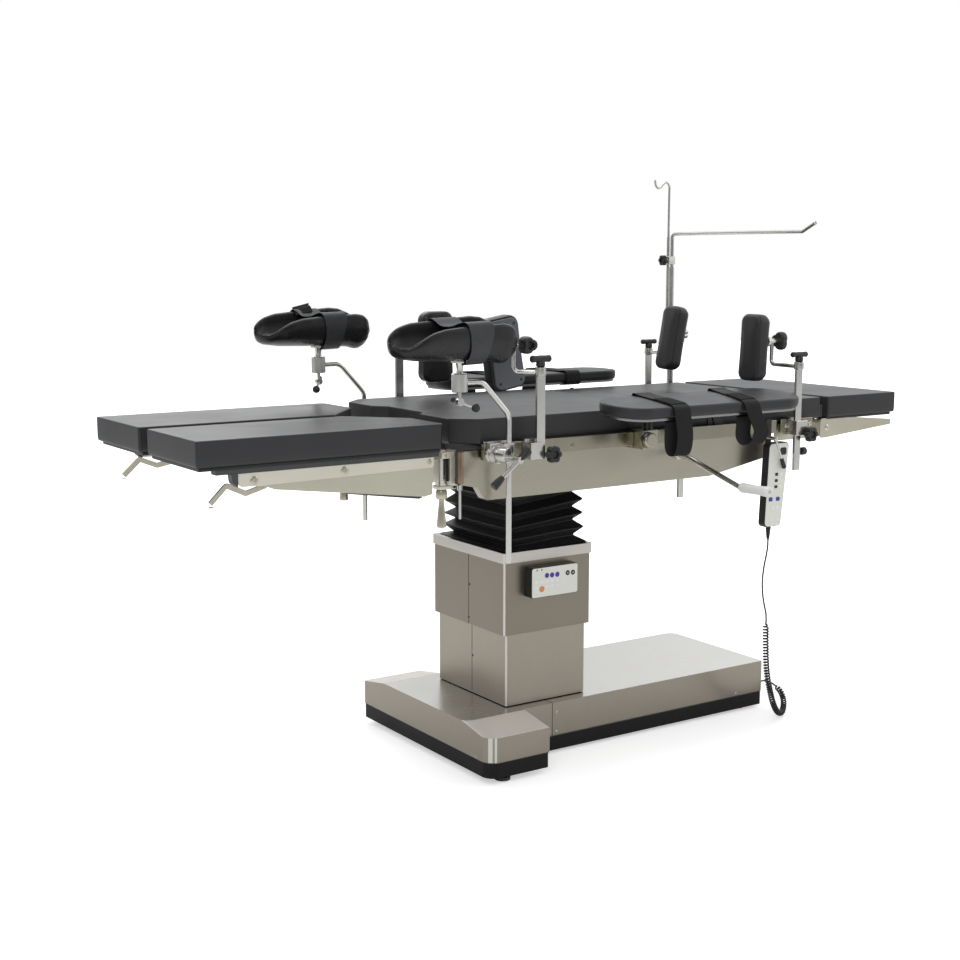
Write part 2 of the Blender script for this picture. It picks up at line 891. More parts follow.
def base_skirt():
    inset_x = base_foot_x + skirt_inset
    neck_x = base_neck_x - skirt_inset
    half = base_half_width - skirt_inset
    body_half = body_half_width - skirt_inset
    head_x = base_head_x - skirt_inset
    top = cover_low - gap
    body_top = body_cover_low - gap
    body_outline = rounded(rectangle(neck_x - sink, head_x, -body_half, body_half),
                           [0, body_corner, body_corner, 0], wide_fillet_steps)
    corner = cover_corner - skirt_inset
    head_outline = rounded(rectangle(inset_x, neck_x, -half, half), [corner, 0, 0, corner], wide_fillet_steps)
    shapes = [
        prism(head_outline, skirt_low, top),
        prism(body_outline, body_skirt_low, body_top),
    ]
    wall = skirt_wall
    corner -= wall
    inner_head = rounded(rectangle(inset_x + wall, neck_x - wall, wall - half, half - wall),
                         [corner, 0, 0, corner], wide_fillet_steps)
    inner_outline = rounded(rectangle(neck_x - wall - sink, head_x - wall, wall - body_half, body_half - wall),
                            [0, body_corner - wall, body_corner - wall, 0], wide_fillet_steps)
    cuts = [
        prism(inner_head, skirt_low - overrun, top + overrun),
        prism(inner_outline, body_skirt_low - overrun, top + overrun),
    ]
    return piece("base_skirt", "base", "black_rubber", shapes, cuts)


def castor_wheels():
    half = wheel_width / 2
    shapes = [cylinder(axle_radius, (wheel_x, -wheel_place - half, wheel_radius),
                       (wheel_x, wheel_place + half, wheel_radius))]
    for side in side_names:
        profile = [(wheel_radius - wheel_crown, 0), (wheel_radius, wheel_crown),
                   (wheel_radius, wheel_width - wheel_crown), (wheel_radius - wheel_crown, wheel_width)]
        shapes.append(turned(profile, (wheel_x, side * wheel_place - half, wheel_radius), (0, 1, 0)))
    return piece("castor_wheels", "castors", "orange_wheel", shapes)


def hydraulic_power_unit():
    low = chassis_floor
    tank_head_x = power_unit_foot_x + tank_length
    motor_height = low + motor_radius
    shapes = [
        block((power_unit_foot_x, tank_head_x), (-tank_half_width, tank_half_width), (low, low + tank_height)),
        cylinder(motor_radius, (tank_head_x - sink, 0, motor_height),
                 (tank_head_x + motor_length, 0, motor_height)),
    ]
    return piece("hydraulic_power_unit", "base", "grey_paint", shapes)


# Column


def shell_outline(half, wall=0):
    half_x, half_y = half
    corners = rectangle(wall - half_x, half_x - wall, wall - half_y, half_y - wall)
    return rounded(corners, max(shell_corner - wall, 0))


def column_lower_shell():
    foot = cover_top + plinth_height
    shapes = [
        prism(shell_outline(lower_shell_half), foot, lower_shell_top),
        prism(shell_outline(lower_shell_half, plinth_recess), cover_top + gap, foot + sink),
    ]
    plinth_bore = shell_outline(lower_shell_half, plinth_recess + shell_wall)
    cuts = [
        prism(plinth_bore, cover_top - overrun, foot + sink + overrun),
        prism(shell_outline(lower_shell_half, shell_wall), foot + sink, lower_shell_top + overrun),
    ]
    return piece("column_lower_shell", "base", "brown_steel", shapes, cuts)


def lift_cylinder():
    foot = (0, 0, chassis_floor)
    top = guide_top - chassis_floor
    shapes = [turned([(ram_barrel_radius, 0), (ram_barrel_radius, top)], foot, (0, 0, 1))]
    cuts = [turned([(ram_rod_radius + play, ram_floor), (ram_rod_radius + play, top + overrun)],
                   foot, (0, 0, 1))]
    return piece("lift_cylinder", "base", "bright_steel", shapes, cuts)


def lift_mast():
    plate_x, plate_y = mast_plate_half
    rim = shell_outline(lift_shell_half, shell_wall + gap)
    inner = mast_half - mast_wall
    cheek_low = mast_plate_top - sink
    shapes = [
        block((-mast_half, mast_half), (-mast_half, mast_half), (mast_low, mast_plate_low + sink)),
        block((-plate_x, plate_x), (-plate_y, plate_y), (mast_plate_low, mast_plate_top)),
        prism(rim, mast_plate_top - mast_rim_thickness, mast_plate_top),
    ]
    cuts = [block((-inner, inner), (-inner, inner), (mast_low - overrun, mast_plate_low))]
    inner_face = block_half_width + play
    for side in side_names:
        cheek = sides_of(side, inner_face, inner_face + cheek_thickness)
        shapes.append(block((-cheek_half_length, cheek_half_length), cheek, (cheek_low, cheek_top)))
        hole = [(0, y_edge, trend_height) for y_edge in (cheek[0] - overrun, cheek[1] + overrun)]
        cuts.append(cylinder(trend_pin_radius + play, *hole))
    ram_rod = cylinder(ram_rod_radius, (0, 0, ram_rod_low), (0, 0, mast_plate_low + sink))
    return piece("lift_mast", "lift", "bright_steel", shapes, cuts, [ram_rod])


def column_upper_shell():
    top = mast_plate_top
    shapes = [prism(shell_outline(lift_shell_half), upper_shell_low, top)]
    cuts = [prism(shell_outline(lift_shell_half, shell_wall), upper_shell_low - overrun, top + overrun)]
    return piece("column_upper_shell", "lift", "brown_steel", shapes, cuts)


def column_cap():
    outer_half = [half + cap_overhang for half in lift_shell_half]
    rim_low = cap_top - cap_rim_height
    shapes = [prism(shell_outline(outer_half), rim_low, cap_top)]
    room = shell_outline(lift_shell_half, -gap)
    hole_x = cheek_half_length + cap_overhang
    hole_y = block_half_width + play + cheek_thickness + cap_overhang
    cuts = [
        prism(room, rim_low - overrun, cap_top - cap_thickness),
        block((-hole_x, hole_x), (-hole_y, hole_y), (rim_low, cap_top + overrun)),
    ]
    return piece("column_cap", "lift", "brown_steel", shapes, cuts)


def bellows():
    """A folded cover: two rings to a fold, at its tip and at its valley."""
    half_x, half_y = bellows_half
    rings = []
    height = bellows_top - bellows_low
    for step in range(bellows_half_folds + 1):
        depth = bellows_fold_depth if step % 2 else 0
        corners = rectangle(depth - half_x, half_x - depth, depth - half_y, half_y - depth)
        outline = rounded(corners, bellows_corner, 2)
        rings.append(lift_points(outline, bellows_low + height * step / bellows_half_folds, "Z"))
    bore_depth = bellows_fold_depth + bellows_wall
    bore = rectangle(bore_depth - half_x, half_x - bore_depth, bore_depth - half_y, half_y - bore_depth)
    cuts = [prism(bore, bellows_low - overrun, bellows_top + overrun)]
    return piece("bellows", "lift", "black_rubber", [loft(rings)], cuts)


def control_box():
    back = lift_shell_half[1] + gap
    corners = rectangle(-box_half_length, box_half_length, box_low, box_low + box_height)
    shapes = [prism(rounded(corners, box_corner), -back - box_reach, -back, "Y")]
    return piece("control_box", "lift", "black_plastic", shapes)


def keypad():
    """The membrane keypad: a plate with rows of raised keys."""
    back = -(lift_shell_half[1] + gap + box_reach + gap)
    front = back - keypad_thickness
    border = keypad_border
    corners = rectangle(border - box_half_length, box_half_length - border,
                        box_low + border, box_low + box_height - border)
    shapes = [prism(rounded(corners, box_corner), front, back, "Y")]
    middle = box_low + box_height / 2
    for column in range(key_columns):
        for row in range(key_rows):
            x = border - box_half_length + key_pitch * (column + 1)
            z = middle + key_pitch * (row - (key_rows - 1) / 2)
            half = key_size / 2
            shapes.append(block((x - half, x + half), (front - key_rise, front + key_rise),
                                (z - half, z + half)))
    return piece("keypad", "lift", "white_plastic", shapes)


# Tilt joints, carriage and table frame


def tilt_block():
    half_y = block_half_width
    pin_reach = half_y + play + cheek_thickness
    lug_end = lug_place + lug_thickness / 2 + gap
    shapes = [
        block((-block_half_length, block_half_length), (-half_y, half_y), (block_low, block_top)),
        cylinder(trend_pin_radius, (0, -pin_reach, trend_height), (0, pin_reach, trend_height)),
        block((-block_half_length, block_half_length), (-lateral_pin_radius, lateral_pin_radius),
              (block_top - sink, lateral_height)),
        cylinder(lateral_pin_radius, (-lug_end, 0, lateral_height), (lug_end, 0, lateral_height)),
    ]
    return piece("tilt_block", "tilt", "bright_steel", shapes)


def slide_carriage():
    half_length = shoe_length / 2
    plate_top = carriage_low + carriage_thickness
    shoe_top = channel_top - channel_web - play
    lug_low = lateral_height - lug_half_width
    shapes = [block((-half_length, half_length), (-carriage_half_width, carriage_half_width),
                    (carriage_low, plate_top))]
    cuts = []
    for side in side_names:
        shoe = sides_of(side, channel_inner + play, channel_outer - channel_web - play)
        shapes.append(block((-half_length, half_length), shoe, (plate_top - sink, shoe_top)))
        lug = tuple(side * lug_place + end * lug_thickness / 2 for end in (-1, 1))
        shapes.append(block(lug, (-lug_half_width, lug_half_width), (lug_low, carriage_low + sink)))
        cuts.append(cylinder(lateral_pin_radius + play, (lug[0] - overrun, 0, lateral_height),
                             (lug[1] + overrun, 0, lateral_height)))
    return piece("slide_carriage", "carriage", "grey_paint", shapes, cuts)


def seat_frame():
    """Two guide channels, cross beams and the board that carries the seat pad."""
    board_foot_x = seat_pad_foot_x + relief_depth + board_inset
    board_half = pad_half_width - board_inset
    shapes = [block((board_foot_x, seat_pad_head_x - board_inset), (-board_half, board_half),
                    (board_low, board_top))]
    cuts = []
    beam_half = beam_width / 2
    beam_reach = panel_inner - gap
    open_reach = panel_outer - panel_depth - play
    beam_low = channel_top - channel_web
    for x in seat_beam_places:
        span = (x - beam_half, x + beam_half)
        shapes.append(block(span, (-open_reach, open_reach), (beam_low, board_low + sink)))
        shapes.append(block(span, (-beam_reach, beam_reach), (beam_low, rail_low + rail_spacer_radius)))
    for x in low_beam_places:
        shapes.append(block((x - beam_half, x + beam_half), (-beam_reach, beam_reach),
                            (beam_low, low_beam_top)))
    for side in side_names:
        outer = channel_outer
        shapes.append(block((channel_foot_x, channel_head_x), sides_of(side, channel_inner - channel_web, outer),
                            (channel_low, channel_top)))
        cuts.append(block((channel_foot_x - overrun, channel_head_x + overrun),
                          sides_of(side, channel_inner, outer - channel_web),
                          (channel_low - overrun, channel_top - channel_web)))
        y = side * bridge_rod_place
        cuts.append(cylinder(bridge_rod_radius + play, (kidney_middle_x, y, beam_low - overrun),
                             (kidney_middle_x, y, low_beam_top + overrun)))
    return piece("seat_frame", "frame", "grey_paint", shapes, cuts)


def panel_outline(margin=0):
    """The side panel seen from the near side, moved inward by the margin."""
    foot_curve_x = panel_knee_x - (panel_knee_x - panel_foot_x) * panel_curve_x_share
    foot_curve_low = panel_knee_low + (panel_foot_low - panel_knee_low) * panel_curve_drop_share
    corners = [
        (panel_foot_x, panel_foot_low), (foot_curve_x, foot_curve_low), (panel_knee_x, panel_knee_low),
        (panel_rise_x, panel_knee_low), (panel_head_x, panel_head_low),
        (panel_head_x, panel_top), (panel_foot_x, panel_top),
    ]
    return inset(corners, margin) if margin else corners


def hinge_ear(x, reach_x, low, place, side):
    """A flat ear with a round eye about the back hinge, and its foot from x to reach_x."""
    eye = [(back_hinge_x + ear_radius * math.cos(a), back_hinge_height + ear_radius * math.sin(a))
           for a in (math.pi * step / 6 for step in range(7))]
    outline = [(x, low), (reach_x, low), *eye]
    return prism(outline, *sides_of(side, place, place + ear_thickness), "Y")


def side_panel(side):
    """A folded panel, open on its inner side, with the accessory rail, a hinge ear and the leg pin."""
    outer = panel_outer
    foot = back_hinge_x - ear_foot / 2
    shapes = [
        prism(panel_outline(), *sides_of(side, outer - panel_depth, outer), "Y"),
        block((rail_foot_x, panel_head_x), sides_of(side, rail_inner, rail_outer), (rail_low, rail_top)),
        hinge_ear(foot, foot + ear_foot, panel_top - panel_wall / 2, outer - ear_thickness, side),
    ]
    spacer_height = rail_low + rail_spacer_radius
    for x in rail_spacer_places:
        shapes.append(cylinder(rail_spacer_radius, (x, side * (outer - sink), spacer_height),
                               (x, side * (rail_inner + sink), spacer_height), rod_sides))
    pins = [
        cylinder(fold_pin_radius, (fold_x, side * fold_barrel_inner, fold_height),
                 (fold_x, side * (outer - sink), fold_height)),
        cylinder(hinge_pin_radius, (back_hinge_x, side * (outer - sink), back_hinge_height),
                 (back_hinge_x, side * (outer + play + ear_thickness), back_hinge_height), rod_sides),
    ]
    room = sides_of(side, outer - panel_depth - overrun, outer - panel_wall)
    cuts = [prism(panel_outline(panel_wall), *room, "Y")]
    return piece(f"side_panel_{side_names[side]}", "frame", "cream_steel", shapes, cuts, pins)


def table_pad(name, body, outline, corner=pad_corner):
    shape = cushion(rounded(outline, corner), pad_underside, pad_top)
    return piece(name, body, "dark_leather", [shape])


def seat_pad():
    half = pad_half_width
    foot, head = seat_pad_foot_x, seat_pad_head_x
    bite = foot + relief_depth
    lobe = relief_half_width
    lip = lobe - relief_depth / 2
    cut = seat_corner_cut
    outline = [
        (head, -half), (head, half), (foot + cut, half), (foot, half - cut),
        (foot, lobe), (bite, lip), (bite, -lip), (foot, -lobe), (foot, cut - half), (foot + cut, -half),
    ]
    return table_pad("seat_pad", "frame", outline)


def plain_pad(name, body, foot_x, head_x):
    return table_pad(name, body, rectangle(foot_x, head_x, -pad_half_width, pad_half_width))


def kidney_bridge():
    half = pad_half_width - board_inset
    shapes = [block((kidney_pad_foot_x + board_inset, kidney_pad_head_x - board_inset), (-half, half),
                    (board_low, board_top))]
    for side in side_names:
        y = side * bridge_rod_place
        tip = bridge_rod_radius / 2
        profile = [(tip, 0), (bridge_rod_radius, tip), (bridge_rod_radius, board_low + sink - bridge_rod_low)]
        shapes.append(turned(profile, (kidney_middle_x, y, bridge_rod_low), (0, 0, 1)))
    return piece("kidney_bridge", "bridge", "bright_steel", shapes)


def bridge_crank():
    top = crank_height
    low = top - crank_throw
    shaft = (crank_x, -panel_outer - gap, top)
    elbow = (crank_x, crank_elbow_y, top)
    wrist = (crank_x, crank_wrist_y, low)
    grip_end = (crank_x, crank_end_y, low)
    shapes = [
        rod([shaft, elbow, wrist, grip_end], crank_rod_radius),
        cylinder(crank_grip_radius, wrist, grip_end),
    ]
    return piece("bridge_crank", "crank", "white_plastic", shapes)


def back_frame():
    half = pad_half_width - board_inset
    board_head_x = back_pad_head_x - board_inset
    shapes = [block((back_pad_foot_x + board_inset, board_head_x), (-half, half), (board_low, board_top))]
    cuts = []
    rib_low = board_low + sink - rib_height
    for side in side_names:
        rib = sides_of(side, back_rib_place - rib_width / 2, back_rib_place + rib_width / 2)
        shapes.append(block((back_rib_foot_x, back_plate_end_x), rib, (rib_low, board_low + sink)))
        plate = sides_of(side, back_plate_outer - head_arm_thickness, back_plate_outer)
        shapes.append(block((back_plate_foot_x, back_plate_end_x), plate, (back_plate_low, board_low + sink)))
        arm = [(back_plate_end_x - rib_width, head_hinge_height - head_arm_radius)]
        arm += [(head_hinge_x + head_arm_radius * math.cos(a), head_hinge_height + head_arm_radius * math.sin(a))
                for a in (math.pi * (step / 6 - 0.5) for step in range(7))]
        arm += [(back_plate_end_x - rib_width, head_hinge_height + head_arm_radius)]
        shapes.append(prism(arm, *sides_of(side, head_arm_place - head_arm_thickness / 2,
                                           head_arm_place + head_arm_thickness / 2), "Y"))
        pin_end = head_bracket_inner + head_arm_thickness
        shapes.append(cylinder(head_pin_radius, (head_hinge_x, side * head_arm_place, head_hinge_height),
                               (head_hinge_x, side * pin_end, head_hinge_height)))
        rail_head_x = back_rail_head_x[side]
        shapes.append(block((back_rail_foot_x, rail_head_x), sides_of(side, rail_inner, rail_outer),
                            (rail_low, rail_top)))
        spacer_height = rail_low + rail_spacer_radius
        for x in (back_plate_foot_x + 2 * rail_spacer_radius, back_plate_end_x - 2 * rail_spacer_radius):
            shapes.append(cylinder(rail_spacer_radius, (x, side * (back_plate_outer - sink), spacer_height),
                                   (x, side * (rail_inner + sink), spacer_height), rod_sides))
        ear_inner = panel_outer + play
        ear_head_x = back_hinge_x + ear_foot * 2
        ear_foot_x = back_hinge_x + ear_foot / 2 + sink
        lug_low = board_low + step_in
        shapes.append(hinge_ear(ear_foot_x, ear_head_x, lug_low + step_in, ear_inner, side))
        shapes.append(block((ear_foot_x + step_in, ear_head_x - step_in),
                            sides_of(side, half - sink, ear_inner + sink / 2), (lug_low, board_top - step_in)))
        cuts.append(cylinder(hinge_pin_radius + play,
                             (back_hinge_x, side * (ear_inner - overrun), back_hinge_height),
                             (back_hinge_x, side * (ear_inner + ear_thickness + overrun), back_hinge_height),
                             rod_sides))
    return piece("back_frame", "back", "cream_steel", shapes, cuts)


def head_frame():
    half = pad_half_width - board_inset
    shapes = [block((head_board_foot_x, head_pad_head_x - board_inset), (-half, half), (board_low, board_top))]
    cuts = []
    outline = [
        (head_hinge_x, head_bracket_low), (head_board_foot_x, head_bracket_low),
        (head_bracket_end_x, head_bracket_end_low), (head_bracket_end_x, head_bracket_end_top),
        (head_board_foot_x + head_bracket_low - head_hinge_height + ear_foot * 3, head_bracket_top),
        (head_hinge_x, head_bracket_top),
    ]
    for side in side_names:
        bracket = sides_of(side, head_bracket_inner, head_bracket_outer)
        shapes.append(prism(outline, *bracket, "Y"))
        cuts.append(cylinder(head_pin_radius + play,
                             (head_hinge_x, side * (head_bracket_inner - overrun), head_hinge_height),
                             (head_hinge_x, side * (head_bracket_inner + head_arm_thickness + play),
                              head_hinge_height)))
    return piece("head_frame", "head", "cream_steel", shapes, cuts)


# Leg sections


def leg_block(side):
    """The hinge block between the frame and a leg: a fold barrel, two lugs and the swing pin."""
    body = side_body("fold", side)
    y = side * swing_place
    barrel = sides_of(side, fold_barrel_inner, panel_outer - panel_depth - gap)
    barrel_ends = [(fold_x, end, fold_height) for end in barrel]
    web = sides_of(side, swing_place - lug_half_reach, swing_place + lug_half_reach)
    lug_foot_x = swing_x - knuckle_radius
    lug_head_x = fold_x + block_web_half
    top = (knuckle_top + play, knuckle_top + play + swing_lug_thickness)
    low = (knuckle_low - play - swing_lug_thickness, knuckle_low - play)
    handle_reach = low[0] - handle_low
    shapes = [
        cylinder(fold_barrel_radius, *barrel_ends),
        block((fold_x - block_web_half, lug_head_x), web, (low[0], top[1])),
        block((lug_foot_x, lug_head_x), web, top),
        block((lug_foot_x, lug_head_x), web, low),
        cylinder(swing_pin_radius, (swing_x, y, low[0]), (swing_x, y, top[1])),
        turned([(handle_tip_radius, 0), (handle_radius, handle_step - handle_low), (handle_radius, handle_reach + sink)],
               (swing_x, y, handle_low), (0, 0, 1)),
    ]
    cuts = [cylinder(fold_pin_radius + play, (fold_x, barrel[0] - overrun, fold_height),
                     (fold_x, barrel[1] + overrun, fold_height))]
    return piece(f"leg_block_{side_names[side]}", body, "bright_steel", shapes, cuts)


def leg_frame(side):
    """The board under a leg pad, its folded bracket, and the knuckle that swings on the pin."""
    inner = leg_parting / 2 + board_inset
    outer = pad_half_width - board_inset
    board = [
        (leg_pad_foot_x + board_inset, inner), (leg_pad_foot_x + board_inset, outer),
        (leg_pad_head_x - board_inset, outer), (leg_pad_head_x - board_inset, inner + leg_inner_cut_width),
        (leg_pad_head_x - board_inset - leg_inner_cut, inner),
    ]
    bracket = [
        (bracket_foot_x, bracket_foot_low), (bracket_knee_x, bracket_knee_low),
        (bracket_head_x - bracket_end_cut, bracket_head_low), (bracket_head_x, bracket_head_low + bracket_end_cut),
        (bracket_head_x, bracket_top), (bracket_foot_x, bracket_top),
    ]
    bracket_inner = bracket_outer - bracket_thickness
    rib = sides_of(side, bracket_inner - leg_rib_width, bracket_inner + sink)
    web = sides_of(side, swing_place - leg_web_width / 2, swing_place + leg_web_width / 2)
    y = side * swing_place
    lever_x, lever_z = lever_root
    shapes = [
        prism([(x, side * v) for x, v in board], board_low, board_top),
        prism(bracket, *sides_of(side, bracket_inner, bracket_outer), "Y"),
        block((bracket_foot_x + bracket_end_cut, leg_pad_head_x - board_inset), rib,
              (bracket_top - rib_width, board_low + sink)),
        block((bracket_head_x - rib_width, swing_x - swing_pin_radius), web,
              (knuckle_low + swing_lug_thickness, knuckle_top - swing_lug_thickness)),
        cylinder(knuckle_radius, (swing_x, y, knuckle_low), (swing_x, y, knuckle_top)),
        cylinder(lever_pin_radius, (lever_x, side * (bracket_inner + sink), lever_z),
                 (lever_x, side * (lever_place - lever_thickness), lever_z)),
    ]
    cuts = [cylinder(swing_pin_radius + play, (swing_x, y, knuckle_low - overrun),
                     (swing_x, y, knuckle_top + overrun))]
    return piece(f"leg_frame_{side_names[side]}", side_body("leg", side), "cream_steel", shapes, cuts)


def leg_pad(side):
    inner = leg_parting / 2
    outline = [
        (leg_pad_foot_x, inner), (leg_pad_head_x - leg_inner_cut, inner),
        (leg_pad_head_x, inner + leg_inner_cut_width), (leg_pad_head_x, pad_half_width - leg_outer_cut),
        (leg_pad_head_x - leg_outer_cut, pad_half_width), (leg_pad_foot_x, pad_half_width),
    ]
    corners = [pad_corner, pad_corner, pad_corner, 0, 0, pad_corner]
    if side < 0:
        corners = list(reversed(corners))
    return table_pad(f"leg_pad_{side_names[side]}", side_body("leg", side), mirrored(outline, side), corners)


def leg_lever(side):
    """A bent flat bar that turns on the bracket's pin to free the leg."""
    spine = [lever_root, lever_low_knee, lever_high_knee, lever_tip]
    half = lever_depth / 2
    left = []
    right = []
    for i, point in enumerate(spine):
        here = Vector(point)
        back = (here - Vector(spine[max(i - 1, 0)])).normalized()
        ahead = (Vector(spine[min(i + 1, len(spine) - 1)]) - here).normalized()
        run = (back + ahead).normalized()
        across = Vector((-run.y, run.x)) * half
        left.append(here + across)
        right.append(here - across)
    span = sides_of(side, lever_place - lever_thickness / 2, lever_place + lever_thickness / 2)
    x, z = lever_root
    shapes = [
        prism(left + list(reversed(right)), *span, "Y"),
        cylinder(lever_boss_radius, (x, span[0], z), (x, span[1], z)),
    ]
    cuts = [cylinder(lever_pin_radius + play, (x, span[0] - overrun, z), (x, span[1] + overrun, z))]
    return piece(f"leg_lever_{side_names[side]}", side_body("lever", side), "bright_steel", shapes, cuts)


# Accessories on the rails


def rail_clamp(side, x, half_length):
    """A clamp body in front of the rail with a hook over its top and one under its foot."""
    span = (x - half_length, x + half_length)
    hook = sides_of(side, rail_inner - play, clamp_back + sink)
    return [
        block(span, sides_of(side, clamp_back, clamp_reach), (clamp_low, clamp_top)),
        block(span, hook, (rail_top + gap, clamp_top)),
        block(span, hook, (clamp_low, rail_low - gap)),
    ]


def star_knob(side, x, height):
    foot = (x, side * (clamp_reach - sink), height)
    return lobed(star_radius, star_depth, star_lobes, foot, (0, side, 0), star_thickness + sink)


def holder_clamp(side):
    """The leg holder's rail clamp, with its tee lever."""
    x = holder_x - clamp_half_length / 2
    tee_x = x - clamp_half_length / 3
    y = side * tee_place
    foot = (tee_x + tee_half_length, y, tee_height + tee_half_drop + sink)
    head = (tee_x - tee_half_length, y, tee_height - tee_half_drop + sink)
    hub = tee_height + sink * 3
    reach = Vector(head) - Vector(foot)
    grip = reach * tee_grip_share
    shapes = rail_clamp(side, x, clamp_half_length) + [
        cylinder(tee_grip_radius, (tee_x, side * (clamp_reach - sink), hub), (tee_x, y, hub)),
        rod([foot, head], tee_radius),
        cylinder(tee_grip_radius, foot, Vector(foot) + grip),
        cylinder(tee_grip_radius, head, Vector(head) - grip),
    ]
    bore = holder_rod_radius + play
    y = side * post_place
    cuts = [cylinder(bore, (holder_x, y, clamp_low - overrun), (holder_x, y, clamp_top + overrun))]
    return piece(f"holder_clamp_{side_names[side]}", "frame", "bright_steel", shapes, cuts)


def holder_rod(side):
    y = side * post_place
    top = holder_rod_top
    path = [(holder_x, y, holder_rod_low), (holder_x, y, holder_rod_knee), (holder_bend_x, y, top),
            (holder_head_x, y, top)]
    foot = (holder_head_x, y, holder_head_low)
    neck = holder_stem_foot - gap - holder_head_low
    ball_centre = (holder_head_x + holder_head_radius, side * holder_lever_reach, holder_lever_height)
    shapes = [
        rod(path, holder_rod_radius, bend=holder_bend_radius),
        turned([(holder_head_radius, 0), (holder_head_radius, holder_head_height), (gutter_stem_radius, neck)],
               foot, (0, 0, 1)),
        rod([(holder_head_x, y, holder_head_low + holder_head_radius), ball_centre], tee_radius),
        ball(holder_ball_radius, ball_centre, sides=rod_sides),
    ]
    return piece(f"holder_rod_{side_names[side]}", side_body("holder", side), "bright_steel", shapes)


def holder_gutter(side):
    """The padded gutter for a leg: U-shaped sections that narrow toward the head end."""
    y = side * post_place
    rings = []
    for station in range(gutter_stations):
        share = station / (gutter_stations - 1)
        x = gutter_foot_x + (gutter_head_x - gutter_foot_x) * share
        half = gutter_half_width + (gutter_head_half_width - gutter_half_width) * share ** 2
        low = gutter_underside + gutter_tip_rise * max(0, 1 - share / gutter_tip_share) ** 2
        depth_share = gutter_foot_depth_share
        depth_share += (1 - gutter_foot_depth_share) * min(1, share / gutter_full_depth_share)
        depth = gutter_depth * depth_share
        outer = []
        inner = []
        for i in range(gutter_arc_points):
            angle = math.pi * i / (gutter_arc_points - 1)
            drop = math.sin(angle) ** gutter_flatness_share
            outer.append((x, y - half * math.cos(angle), low + depth * (1 - drop)))
            thick = gutter_thickness
            inner.append((x, y - (half - thick) * math.cos(angle), low + thick + (depth - thick) * (1 - drop)))
        rings.append(outer + list(reversed(inner)))
    stem_foot = (holder_head_x, y, holder_stem_foot)
    stem_head = (holder_head_x, y, gutter_underside + gutter_thickness / 2)
    shapes = [loft(rings), cylinder(gutter_stem_radius, stem_foot, stem_head)]
    return piece(f"holder_gutter_{side_names[side]}", side_body("gutter", side), "dark_leather", shapes)


def support_post(name, side, x, body, low, top):
    """A flat bar in a rail clamp, with a pin at its top that the support's eye turns on, and a tee knob."""
    y = side * post_place
    bar = (x - post_depth / 2, x + post_depth / 2)
    eye_low, eye_top = eye_span(top)
    stem_top = top + tee_knob_height - tee_knob_radius
    clamp_x = x + support_clamp_half_length / 4
    shapes = [
        block(bar, (y - post_thickness / 2, y + post_thickness / 2), (low, eye_low - play)),
        cylinder(post_pin_radius, (x, y, eye_low - sink), (x, y, eye_top + sink)),
        turned([(post_eye_radius, 0), (tee_knob_radius, stem_top - eye_top)], (x, y, eye_top + play), (0, 0, 1)),
        rod([(x - tee_knob_half_length, y, stem_top), (x + tee_knob_half_length, y, stem_top)], tee_knob_radius),
        star_knob(side, clamp_x + post_depth / 2, (rail_low + rail_top) / 2 - star_thickness / 2),
    ] + rail_clamp(side, clamp_x, support_clamp_half_length)
    return piece(f"{name}_{side_names[side]}", body, "bright_steel", shapes)


def eye_span(top):
    """The low and high ends of the eye at the top of a support's post."""
    return top - post_eye_height, top


def support_eye(x, y, top):
    """The eye of a support and the cut for the post's pin."""
    low, high = eye_span(top)
    eye = cylinder(post_eye_radius, (x, y, low), (x, y, high))
    bore = cylinder(post_pin_radius + play, (x, y, low - overrun), (x, y, high + overrun))
    return eye, bore


def trilobe(centre, direction):
    return lobed(trilobe_radius, trilobe_depth, trilobe_lobes, centre, direction, star_thickness)


def hip_pad(side):
    """A hip support: cushion, back plate, stud, knob and the bent rod from the post's eye."""
    x = hip_post_x[side]
    shift = hip_pad_shift[side]
    y = side * post_place
    pad_x = x + shift * hip_pad_shift_share
    rod_x = x + shift
    rod_height = hip_post_top - post_eye_height / 2
    start = (x + math.copysign(post_eye_radius - sink, shift), y, rod_height)
    span = (pad_x - hip_pad_width / 2, pad_x + hip_pad_width / 2)
    outline = rounded(rectangle(*span, hip_pad_low, hip_pad_low + hip_pad_height), support_pad_corner)
    plate_face = hip_pad_inner + support_pad_thickness
    stud_end = post_place + post_eye_radius
    eye, bore = support_eye(x, y, hip_post_top)
    shapes = [
        cushion(outline, side * plate_face, side * hip_pad_inner, "Y"),
        prism(inset(outline, support_plate_margin),
              *sides_of(side, plate_face - sink, plate_face + support_plate_thickness), "Y"),
        cylinder(support_stud_radius, (rod_x, side * plate_face, hip_knob_height),
                 (rod_x, side * stud_end, hip_knob_height)),
        rod([start, (rod_x, y, rod_height), (rod_x, y, hip_knob_height + sink)], support_rod_radius),
        trilobe((rod_x, side * (stud_end - sink), hip_knob_height), (0, side, 0)),
        eye,
    ]
    return piece(f"hip_pad_{side_names[side]}", side_body("hip_pad", side), "dark_leather", shapes, [bore])


